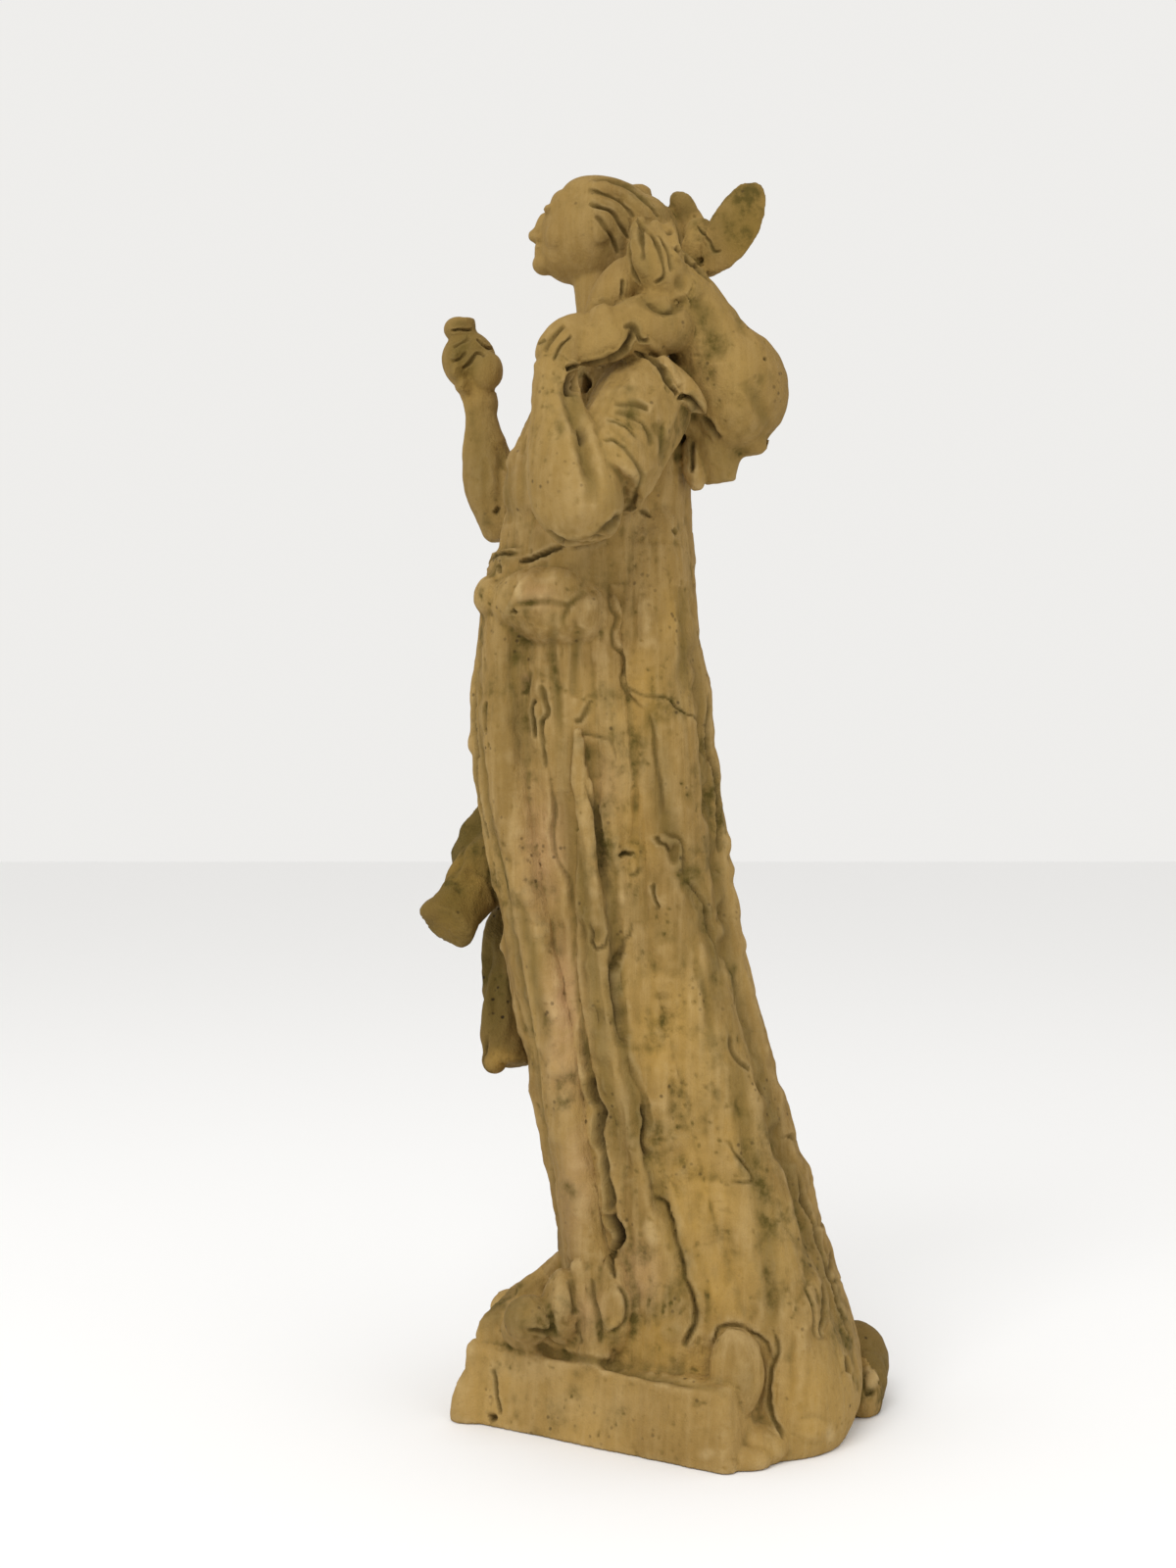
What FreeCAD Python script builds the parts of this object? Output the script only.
"""A hand-built clay statuette: a draped standing figure on a square plinth, with a winged
infant over the near shoulder and a lopped tree stump beside it.

Every clay member that the modeller rolled, patted or cut by itself is one solid, and each is
cut back by the member it was pressed onto, so neighbours meet face to face.

Frame, in millimetres: the figure faces -Y, its left (near) side is +X, +Z is up, and the
origin is the centre of the plinth's underside.
"""

import FreeCAD
import Part
import os

from FreeCAD import Placement, Rotation, Vector

UP = Vector(0, 0, 1)
ACROSS = Vector(1, 0, 0)
OUT = "parts"

# ---------------------------------------------------------------- driving sizes

BASE = {
    "plinth_side": 148.0,
    "plinth_height": 36.0,
    "plinth_turn": -33.0,  # degrees about +Z, the plinth against the figure
    "plinth_batter": 7.0,  # degrees that the sides lean in
    "plinth_corner": 5.0,  # radius of three upright corners
    "plinth_worn_corner": 22.0,  # radius of the worn back corner
    "plinth_edge": 3.0,  # rounding round the top
    "hollow_height": 190.0,  # hand-scooped hollow, open underneath
    "hollow_half_width": 20.0,
    "hollow_half_depth": 25.0,
    "hollow_x": 12.0,
    "hollow_y": 8.0,
    "core_inset_front": 7.0,  # the core lies this far inside the drapery
    "core_inset_back": 8.0,
    "core_inset_side": 4.0,
    "front_fold_width": 0.76,  # share of the body's half width
}

# Drapery stations. Heights are above the plinth's top; the other figures are Y of the front
# outline, Y of the front crease, Y of the train's crease, Y of the back outline, the half
# width along X and the X of the middle.
STATION_FIELDS = ("up", "front", "crease", "train", "back", "half", "mid")
STATIONS = {
    "hem": (0.0, -50.0, -22.0, 14.0, 90.0, 62.0, 14.0),
    "shin": (52.0, -52.0, -26.0, 2.0, 74.0, 57.0, 9.0),
    "knee": (114.0, -62.0, -37.0, -12.0, 55.0, 51.0, 5.0),
    "thigh": (174.0, -74.0, -45.0, -25.0, 38.5, 48.0, 2.0),
    "rump": (234.0, -86.0, -57.0, -31.0, 28.5, 46.0, 0.0),
    "hip": (294.0, -93.0, -62.0, -36.0, 21.0, 45.0, 0.0),
    "belly": (344.0, -91.0, -62.0, -38.0, 15.0, 43.0, 0.0),
    "waist": (379.0, -85.0, -58.0, -38.0, 12.0, 41.0, 0.0),
}

# Landmarks of the limbs: x, y, height above the plinth's top, radius.
POINT_FIELDS = ("x", "y", "up", "r")
POINTS = {
    "trunk_foot": (-44.0, -18.0, -2.0, 31.0),
    "trunk_low": (-44.0, -31.0, 110.0, 27.0),
    "trunk_high": (-40.0, -58.0, 230.0, 26.0),
    "trunk_top": (-34.0, -70.0, 322.0, 24.0),
    "upper_branch_root": (-44.0, -70.0, 254.0, 21.0),
    "upper_branch_bend": (-18.0, -91.0, 224.0, 17.0),
    "upper_branch_end": (6.0, -108.0, 198.0, 13.0),
    "lower_branch_root": (-40.0, -72.0, 200.0, 15.0),
    "lower_branch_bend": (-24.0, -80.0, 170.0, 14.5),
    "lower_branch_end": (-10.0, -79.5, 129.0, 12.0),
    "far_shoulder": (-44.0, -24.0, 450.0, 20.0),
    "far_arm_mid": (-51.0, -54.0, 424.0, 17.5),
    "far_arm_end": (-46.0, -79.0, 406.0, 14.0),
    "far_elbow": (-44.0, -84.0, 402.0, 14.5),
    "far_forearm_mid": (-45.0, -91.5, 434.0, 12.0),
    "far_wrist": (-45.0, -94.0, 466.0, 8.0),
    "near_shoulder": (40.0, -13.0, 447.0, 23.0),
    "near_sleeve_mid": (58.0, -21.0, 428.0, 22.0),
    "near_sleeve_end": (72.0, -33.0, 402.0, 20.0),
    "near_elbow": (78.0, -43.0, 391.0, 20.0),
    "near_forearm_mid": (76.0, -51.0, 424.0, 15.5),
    "near_wrist": (70.0, -55.0, 458.0, 9.5),
    "near_palm": (65.0, -50.0, 469.0, 10.0),
    "near_fingers": (57.0, -41.0, 477.0, 7.5),
    "neck_foot": (-2.0, -27.0, 478.0, 17.0),
    "neck_top": (-7.0, -33.0, 517.0, 14.0),
    "infant_nape": (31.0, -3.0, 511.0, 13.0),
    "infant_back": (32.0, 9.0, 488.0, 17.5),
    "infant_waist": (31.0, 22.0, 468.0, 23.0),
    "infant_hip": (28.0, 32.0, 450.0, 25.0),
    "infant_seat": (26.0, 38.0, 434.0, 15.0),
    "infant_knee": (24.0, 20.0, 436.0, 12.0),
    "infant_shin": (22.0, 24.0, 411.0, 7.5),
    "infant_shoulder": (48.0, -1.0, 479.0, 12.0),
    "infant_arm_mid": (60.0, -22.0, 473.0, 10.0),
    "infant_hand": (66.0, -41.0, 464.5, 8.0),
    "strip_top": (27.0, 9.0, 428.0, 4.2),
    "strip_end": (27.0, 12.0, 409.0, 3.4),
    "held_foot": (-46.0, -103.0, 488.0, 7.6),
    "held_top": (-46.0, -104.5, 504.0, 7.2),
}

# Patted lumps: x, y, height above the plinth's top, the three half sizes, and the lean of the
# upright axis towards +Y in degrees.
LUMP_FIELDS = ("x", "y", "up", "rx", "ry", "rz", "lean")
LUMPS = {
    "ground_mound": (-4.0, -55.0, -2.0, 57.0, 46.0, 27.0, 0.0),
    "root_spur": (-16.0, 92.0, -20.0, 21.0, 17.0, 20.0, 0.0),
    "root_knuckle": (-46.0, 74.0, -14.0, 20.0, 16.0, 24.0, 0.0),
    "head": (-8.0, -31.5, 536.0, 25.0, 31.0, 27.5, 10.0),
    "hair_mass": (-8.0, -13.0, 532.0, 23.0, 20.0, 23.0, -20.0),
    "hair_bun": (-8.0, -16.5, -8.0, 8.0, 8.5, 6.0, -12.0),  # counted from the top of the head
    "far_hand": (-46.0, -100.5, 483.0, 11.5, 14.0, 15.0, -8.0),
    "far_thumb": (-38.0, -91.0, 476.0, 7.5, 8.0, 9.5, 10.0),
    "putto_head": (46.0, -8.0, 508.0, 14.0, 13.0, 19.0, -20.0),
    "neck_wedge": (46.0, -29.0, 494.0, 9.0, 9.5, 20.0, 28.0),
    "shoulder_roll": (58.0, 3.0, 450.0, 7.5, 17.0, 6.0, 48.0),
    "wing_root": (21.0, 17.0, 522.0, 9.0, 12.5, 13.0, 20.0),
    "wing_near": (31.0, 29.0, 530.5, 4.0, 11.8, 24.5, 30.0),
    "wing_far": (-4.0, 11.0, 541.5, 4.0, 6.5, 17.0, -34.0),
    "waist_knot": (14.0, -85.0, 357.0, 17.0, 10.0, 11.0, 0.0),
    "waist_overfold": (24.0, -52.0, 350.0, 25.0, 35.0, 21.0, 10.0),
    "hem_lobe_front": (47.0, -47.0, 28.0, 9.0, 9.0, 19.0, 0.0),
    "shin_ridge": (59.0, -39.0, 20.0, 7.0, 5.5, 25.0, 0.0),
    "hem_lobe_back": (51.0, -27.0, 29.0, 10.0, 9.0, 19.0, 0.0),
    "front_foot": (32.0, -66.0, 10.0, 10.0, 15.0, 12.0, 0.0),
    "middle_fold": (63.0, -9.0, 32.0, 14.0, 18.0, 32.0, 12.0),
    "train_pad": (80.0, 27.0, 3.0, 9.0, 12.0, 20.0, 0.0),
}

CHEST = {
    "ribs": (412.0, -78.0, 11.0, 45.0),
    "chest": (444.0, -69.0, 9.0, 48.0),
    "yoke": (466.0, -54.0, 3.0, 43.0),
    "collar": (484.0, -45.0, -7.0, 24.0),
}
CHEST_FIELDS = ("up", "front", "back", "half")

TRAIN_FOOT = {
    "train_foot_x": 32.0,
    "train_foot_y": 41.0,
    "train_foot_half_x": 52.0,
    "train_foot_half_y": 41.0,
}

# ---------------------------------------------------------------- document and sheet

doc = FreeCAD.newDocument("statuette")
sheet = doc.addObject("Spreadsheet::Sheet", "sizes")
VALUES = {}


def add_sizes(sizes):
    """Each named size becomes one cell with that alias."""
    for alias, value in sizes.items():
        cell = f"A{len(VALUES) + 1}"
        sheet.set(cell, str(value))
        sheet.setAlias(cell, alias)
        VALUES[alias] = value


def table(rows, fields):
    return {f"{row}_{field}": value for row, line in rows.items() for field, value in zip(fields, line)}


for sizes in (BASE, table(STATIONS, STATION_FIELDS), table(POINTS, POINT_FIELDS),
              table(LUMPS, LUMP_FIELDS), table(CHEST, CHEST_FIELDS), TRAIN_FOOT):
    add_sizes(sizes)
doc.recompute()


def cell(alias):
    """The sheet's own figure for an alias."""
    return float(sheet.get(alias))


def bind(piece, **expressions):
    """Ties properties of a piece to expressions in the sheet's aliases."""
    for prop, expression in expressions.items():
        piece.setExpression(prop.replace("__", "."), expression)
    return piece


def at(alias):
    """A landmark as a point."""
    return Vector(cell(alias + "_x"), cell(alias + "_y"), cell("plinth_height") + cell(alias + "_up"))


SUBPARTS = []


def keep(piece, label):
    """Names a finished member: its label is the node's name."""
    piece.Label = label
    SUBPARTS.append(piece)
    return piece


# ---------------------------------------------------------------- ways of making a member


# Lumps whose height is counted from another member, and from where.
COUNTED_FROM = {"hair_bun": "sizes.plinth_height + sizes.head_up + sizes.head_rz"}


def lump(name):
    """An egg of clay, patted to three half sizes and leant in the Y-Z plane."""
    datum = COUNTED_FROM.get(name, "sizes.plinth_height")
    egg = doc.addObject("Part::Ellipsoid", name + "_egg")
    bind(egg, Radius1=f"sizes.{name}_rz", Radius2=f"sizes.{name}_rx", Radius3=f"sizes.{name}_ry")
    egg.Placement = Placement(at(name), Rotation(Vector(1, 0, 0), -cell(name + "_lean")))
    bind(egg, Placement__Base__x=f"sizes.{name}_x", Placement__Base__y=f"sizes.{name}_y",
         Placement__Base__z=f"{datum} + sizes.{name}_up")
    return egg


def ring(name, centre, normal, radius):
    """A circle that a rolled limb passes through; radius is an expression."""
    circle = doc.addObject("Part::Circle", name)
    bind(circle, Radius=radius)
    # Every ring starts on the same side, so the roll has no twist.
    circle.Placement = Placement(centre, Rotation(ACROSS, Vector(), normal, "ZXY"))
    return circle


def loft(name, sections):
    body = doc.addObject("Part::Loft", name + "_loft")
    body.Sections = sections
    body.Solid = True
    body.Ruled = False
    return body


ROUND_REACH, ROUND_SHARE = 0.72, 0.58  # how far a rolled end reaches past its last ring, and its size


def limb(name, landmarks, round_start=True, round_end=True):
    """A roll of clay through its landmarks, with rounded or cut ends."""
    points = [at(mark) for mark in landmarks]
    rings = []
    for i, mark in enumerate(landmarks):
        before, after = points[max(i - 1, 0)], points[min(i + 1, len(points) - 1)]
        rings.append(ring(f"{name}_ring_{i}", points[i], after - before, f"sizes.{mark}_r"))
    if round_start:
        along = (points[0] - points[1]).normalize()
        reach = ROUND_REACH * cell(landmarks[0] + "_r")
        rings.insert(0, ring(name + "_start", points[0] + along * reach, along * -1,
                             f"sizes.{landmarks[0]}_r * {ROUND_SHARE}"))
    if round_end:
        along = (points[-1] - points[-2]).normalize()
        reach = ROUND_REACH * cell(landmarks[-1] + "_r")
        rings.append(ring(name + "_end", points[-1] + along * reach, along,
                          f"sizes.{landmarks[-1]}_r * {ROUND_SHARE}"))
    return loft(name, rings)


QUARTER = Rotation(UP, 90)


def oval(name, height, x, y, half_x, half_y):
    """A level oval section, all its figures being expressions. Its long axis lies along X or Y."""
    ellipse = doc.addObject("Part::Ellipse", name)
    wide = sheet.evalExpression(half_x) >= sheet.evalExpression(half_y)
    ellipse.Placement = Placement(Vector(), Rotation() if wide else QUARTER)
    major, minor = (half_x, half_y) if wide else (half_y, half_x)
    # The longer radius is set first, so the two never cross on the way.
    ellipse.MajorRadius = 1000
    bind(ellipse, MinorRadius=minor, Placement__Base__x=x, Placement__Base__y=y,
         Placement__Base__z=height)
    bind(ellipse, MajorRadius=major)
    return ellipse


def cut(name, base, *tools):
    """The member less the ones that it is pressed onto."""
    for i, tool in enumerate(tools):
        piece = doc.addObject("Part::Cut", f"{name}_less_{i}")
        piece.Base = base
        piece.Tool = tool
        base = piece
    return base


# ---------------------------------------------------------------- plinth and ground


def plinth_origin_plane(body, role):
    return next(f for f in body.Origin.OriginFeatures if f.Role == role)


def make_plinth():
    """A square slab with battered sides, rounded corners and a worn back corner."""
    body = doc.addObject("PartDesign::Body", "plinth_body")
    sketch = body.newObject("Sketcher::SketchObject", "plinth_outline")
    sketch.AttachmentSupport = (plinth_origin_plane(body, "XY_Plane"), [""])
    sketch.MapMode = "FlatFace"
    half = cell("plinth_side") / 2
    corners = [Vector(-half, -half), Vector(half, -half), Vector(half, half), Vector(-half, half)]
    for i in range(4):
        sketch.addGeometry(Part.LineSegment(corners[i], corners[(i + 1) % 4]), False)
    import Sketcher  # FreeCAD must be loaded before its workbench module

    for i in range(4):
        sketch.addConstraint(Sketcher.Constraint("Coincident", i, 2, (i + 1) % 4, 1))
    for side in (0, 2):
        sketch.addConstraint(Sketcher.Constraint("Horizontal", side))
    for side in (1, 3):
        sketch.addConstraint(Sketcher.Constraint("Vertical", side))
    sketch.addConstraint(Sketcher.Constraint("Symmetric", 0, 1, 2, 1, -1, 1))
    for side, name in ((0, "width"), (1, "depth")):
        number = sketch.addConstraint(Sketcher.Constraint("Distance", side, 2 * half))
        sketch.renameConstraint(number, name)
        sketch.setExpression("Constraints." + name, "sizes.plinth_side")
    pad = body.newObject("PartDesign::Pad", "plinth_pad")
    pad.Profile = sketch
    bind(pad, Length="sizes.plinth_height")
    pad.TaperAngle = -cell("plinth_batter")
    bind(pad, TaperAngle="-sizes.plinth_batter")
    doc.recompute()
    upright = [f"Edge{i + 1}" for i, e in enumerate(pad.Shape.Edges)
               if abs(e.Vertexes[0].Point.z - e.Vertexes[-1].Point.z) > 1]
    # The worn corner is the one at the back, -X +Y in the slab's own frame.
    worn = max(upright, key=lambda n: pad.Shape.getElement(n).CenterOfMass.y
               - pad.Shape.getElement(n).CenterOfMass.x)
    corners = body.newObject("PartDesign::Fillet", "plinth_corners")
    corners.Base = (pad, [n for n in upright if n != worn])
    bind(corners, Radius="sizes.plinth_corner")
    doc.recompute()
    found = [f"Edge{i + 1}" for i, e in enumerate(corners.Shape.Edges)
             if (e.CenterOfMass - pad.Shape.getElement(worn).CenterOfMass).Length < 1]
    worn_round = body.newObject("PartDesign::Fillet", "plinth_worn_round")
    worn_round.Base = (corners, found)
    bind(worn_round, Radius="sizes.plinth_worn_corner")
    doc.recompute()
    top = [f"Edge{i + 1}" for i, e in enumerate(worn_round.Shape.Edges)
           if min(v.Point.z for v in e.Vertexes) > cell("plinth_height") - 0.1]
    edge = body.newObject("PartDesign::Fillet", "plinth_edge_round")
    edge.Base = (worn_round, top)
    bind(edge, Radius="sizes.plinth_edge")
    body.Tip = edge
    body.Placement = Placement(Vector(), Rotation(UP, cell("plinth_turn")))
    return body


def make_hollow():
    """The hand-scooped hollow that lets the clay dry and fire evenly."""
    egg = doc.addObject("Part::Ellipsoid", "scooped_hollow")
    bind(egg, Radius1="sizes.hollow_height", Radius2="sizes.hollow_half_width",
         Radius3="sizes.hollow_half_depth", Placement__Base__x="sizes.hollow_x",
         Placement__Base__y="sizes.hollow_y")
    return egg


def make_ground():
    """The mound of earth, trimmed flush with the plinth's sides."""
    trim = doc.addObject("Part::Box", "mound_trim")
    side = "(sizes.plinth_side - 2 * sizes.plinth_edge - 2 * sizes.plinth_height * tan(sizes.plinth_batter))"
    bind(trim, Length=side, Width=side, Height="sizes.plinth_height * 4")
    half = sheet.evalExpression(side) / 2
    turn = Rotation(UP, cell("plinth_turn"))
    trim.Placement = Placement(turn.multVec(Vector(-half, -half, 0)), turn)
    mound = doc.addObject("Part::Common", "trimmed_mound")
    mound.Base = lump("ground_mound")
    mound.Tool = trim
    return mound


def make_floor():
    """A block below the floor, which levels what would reach under the plinth."""
    block = doc.addObject("Part::Box", "below_floor")
    reach = 400
    block.Length = block.Width = 2 * reach
    block.Height = reach
    block.Placement.Base = Vector(-reach, -reach, -reach)
    return block


# ---------------------------------------------------------------- the draped body


def height(station):
    return f"sizes.plinth_height + sizes.{station}_up"


def make_core(names):
    """The mass of legs and hips that the drapery lies on."""
    sections = []
    for s in names:
        front = f"(sizes.{s}_front + sizes.core_inset_front)"
        back = f"(sizes.{s}_back - sizes.core_inset_back)"
        sections.append(oval(f"core_{s}", height(s), f"sizes.{s}_mid", f"({front} + {back}) / 2",
                             f"sizes.{s}_half - sizes.core_inset_side", f"({back} - {front}) / 2"))
    return loft("core", sections)


def make_front_drape(names):
    """The long fold that falls over the forward leg."""
    sections = []
    for s in names:
        sections.append(oval(f"front_{s}", height(s), f"sizes.{s}_mid",
                             f"(sizes.{s}_front + sizes.{s}_crease) / 2",
                             f"sizes.{s}_half * sizes.front_fold_width",
                             f"(sizes.{s}_crease - sizes.{s}_front) / 2 + 2"))
    return loft("front_drape", sections)


def make_train(names):
    """The train, swept back over the plinth's edge down to the floor."""
    foot = oval("train_foot", "0", "sizes.train_foot_x", "sizes.train_foot_y",
                "sizes.train_foot_half_x", "sizes.train_foot_half_y")
    sections = [foot]
    for s in names:
        sections.append(oval(f"train_{s}", height(s), f"sizes.{s}_mid",
                             f"(sizes.{s}_train + sizes.{s}_back) / 2", f"sizes.{s}_half",
                             f"(sizes.{s}_back - sizes.{s}_train) / 2"))
    return loft("train", sections)


def make_torso(names):
    """Bodice and shoulders, standing on the core at the waist seam."""
    sections = [oval("torso_waist", height("waist"), "sizes.waist_mid",
                     "(sizes.waist_front + sizes.waist_back) / 2", "sizes.waist_half",
                     "(sizes.waist_back - sizes.waist_front) / 2")]
    for s in names:
        sections.append(oval(f"torso_{s}", height(s), "0", f"(sizes.{s}_front + sizes.{s}_back) / 2",
                             f"sizes.{s}_half", f"(sizes.{s}_back - sizes.{s}_front) / 2"))
    return loft("torso", sections)


# ---------------------------------------------------------------- assembly

# The rough masses, before they are pressed together.
SKIRT = list(STATIONS)
plinth_body = make_plinth()
hollow = make_hollow()
floor = make_floor()
core = make_core(SKIRT)
front = make_front_drape(SKIRT)
back = make_train(SKIRT)
torso = make_torso(list(CHEST))
egg = {name: make_ground() if name == "ground_mound" else lump(name) for name in LUMPS}
trunk = limb("trunk", ["trunk_foot", "trunk_low", "trunk_high", "trunk_top"], round_start=False)
upper = limb("upper", ["upper_branch_root", "upper_branch_bend", "upper_branch_end"], round_end=False)
lower = limb("lower", ["lower_branch_root", "lower_branch_bend", "lower_branch_end"], round_end=False)
neck = limb("neck_roll", ["neck_foot", "neck_top"], round_start=False, round_end=False)
sleeve = limb("sleeve", ["near_shoulder", "near_sleeve_mid", "near_sleeve_end"], round_end=False)
forearm = limb("forearm", ["near_elbow", "near_forearm_mid", "near_wrist"], round_end=False)
hand = limb("hand", ["near_wrist", "near_palm", "near_fingers"], round_start=False)
far_arm = limb("far_arm_roll", ["far_shoulder", "far_arm_mid", "far_arm_end"])
far_forearm = limb("far_forearm_roll", ["far_elbow", "far_forearm_mid", "far_wrist"], round_end=False)
block = limb("block", ["held_foot", "held_top"], round_start=False, round_end=False)
infant = limb("infant", ["infant_nape", "infant_back", "infant_waist", "infant_hip", "infant_seat"])
arm = limb("infant_arm_roll", ["infant_shoulder", "infant_arm_mid", "infant_hand"])
leg = limb("infant_leg_roll", ["infant_knee", "infant_shin"], round_end=False)
strip = limb("strip", ["strip_top", "strip_end"])

# Each member, and the ones that it is pressed onto.
MEMBERS = {
    "plinth": (plinth_body, [hollow]),
    "skirt_core": (core, [hollow]),
    "front_drape": (front, [core]),
    "train": (back, [plinth_body, core]),
    "torso": (torso, []),
    "tree_trunk": (trunk, [plinth_body, core, front]),
    "ground_mound": (egg["ground_mound"], [plinth_body, core, front, trunk]),
    "upper_branch": (upper, [core, front, trunk]),
    "lower_branch": (lower, [core, front, trunk, upper]),
    "root_spur": (egg["root_spur"], [floor, plinth_body, core, back]),
    "root_knuckle": (egg["root_knuckle"], [floor, plinth_body, core, back, egg["root_spur"]]),
    "waist_knot": (egg["waist_knot"], [core, front, torso]),
    "waist_overfold": (egg["waist_overfold"], [torso, core, back, front, egg["waist_knot"]]),
    "front_foot": (egg["front_foot"], [plinth_body, core, front, egg["ground_mound"]]),
    "shin_ridge": (egg["shin_ridge"], [plinth_body, core, front]),
    "hem_lobe_front": (egg["hem_lobe_front"], [core, front, egg["shin_ridge"]]),
    "hem_lobe_back": (egg["hem_lobe_back"], [core, front, egg["shin_ridge"]]),
    "middle_fold": (egg["middle_fold"], [plinth_body, core, front, back, egg["hem_lobe_back"]]),
    "train_pad": (egg["train_pad"], [plinth_body, core, back, egg["middle_fold"]]),
    "head": (egg["head"], []),
    "neck": (neck, [torso, egg["head"]]),
    "hair_mass": (egg["hair_mass"], [egg["head"], neck, torso]),
    "hair_bun": (egg["hair_bun"], [egg["head"], egg["hair_mass"]]),
    "near_sleeve": (sleeve, [torso]),
    "near_forearm": (forearm, [torso, sleeve]),
    "near_hand": (hand, [torso, sleeve, forearm]),
    "far_arm": (far_arm, [torso]),
    "far_forearm": (far_forearm, [far_arm]),
    "far_hand": (egg["far_hand"], [far_forearm]),
    "far_thumb": (egg["far_thumb"], [far_forearm, egg["far_hand"]]),
    "held_block": (block, [egg["far_hand"]]),
    "infant_body": (infant, [torso, sleeve, egg["head"], egg["hair_mass"]]),
    "infant_head": (egg["putto_head"], [infant, torso, sleeve, egg["head"], egg["hair_mass"]]),
    "infant_arm": (arm, [egg["putto_head"], infant, sleeve, hand, torso, forearm]),
    "infant_leg": (leg, [infant, torso, back]),
    "neck_wedge": (egg["neck_wedge"], [egg["head"], torso, egg["putto_head"], hand, arm]),
    "shoulder_roll": (egg["shoulder_roll"], [torso, sleeve, infant, arm]),
    "side_strip": (strip, [torso, infant, leg]),
    "wing_root": (egg["wing_root"], [infant, egg["putto_head"], egg["hair_mass"]]),
    "near_wing": (egg["wing_near"], [infant, egg["putto_head"], egg["wing_root"]]),
    "far_wing": (egg["wing_far"], [egg["wing_root"], egg["hair_mass"], egg["head"]]),
}
for label, (mass, onto) in MEMBERS.items():
    keep(cut(label, mass, *onto), label)

# ---------------------------------------------------------------- checks and export

doc.recompute()
faults = []
for obj in doc.Objects:
    if "Invalid" in obj.State or "Error" in obj.State:
        faults.append(f"{obj.Name} ({obj.Label}): {obj.State}")
for piece in SUBPARTS:
    shape = piece.Shape
    if shape.isNull() or not shape.isValid():
        faults.append(f"{piece.Label}: null or invalid shape")
    elif len(shape.Solids) != 1:
        sizes_found = [round(solid.Volume) for solid in shape.Solids]
        faults.append(f"{piece.Label}: {len(shape.Solids)} solids {sizes_found}")
if faults:
    raise RuntimeError("; ".join(faults))

os.makedirs(OUT, exist_ok=True)
for piece in SUBPARTS:
    Part.export([piece], os.path.join(OUT, piece.Label + ".step"))
    box = piece.Shape.BoundBox
    print(f"{piece.Label:16s} {piece.Shape.Volume / 1000:8.1f} cm3  "
          f"x {box.XMin:7.1f} {box.XMax:7.1f}  y {box.YMin:7.1f} {box.YMax:7.1f}  "
          f"z {box.ZMin:7.1f} {box.ZMax:7.1f}")
print(len(SUBPARTS), "sub-parts")
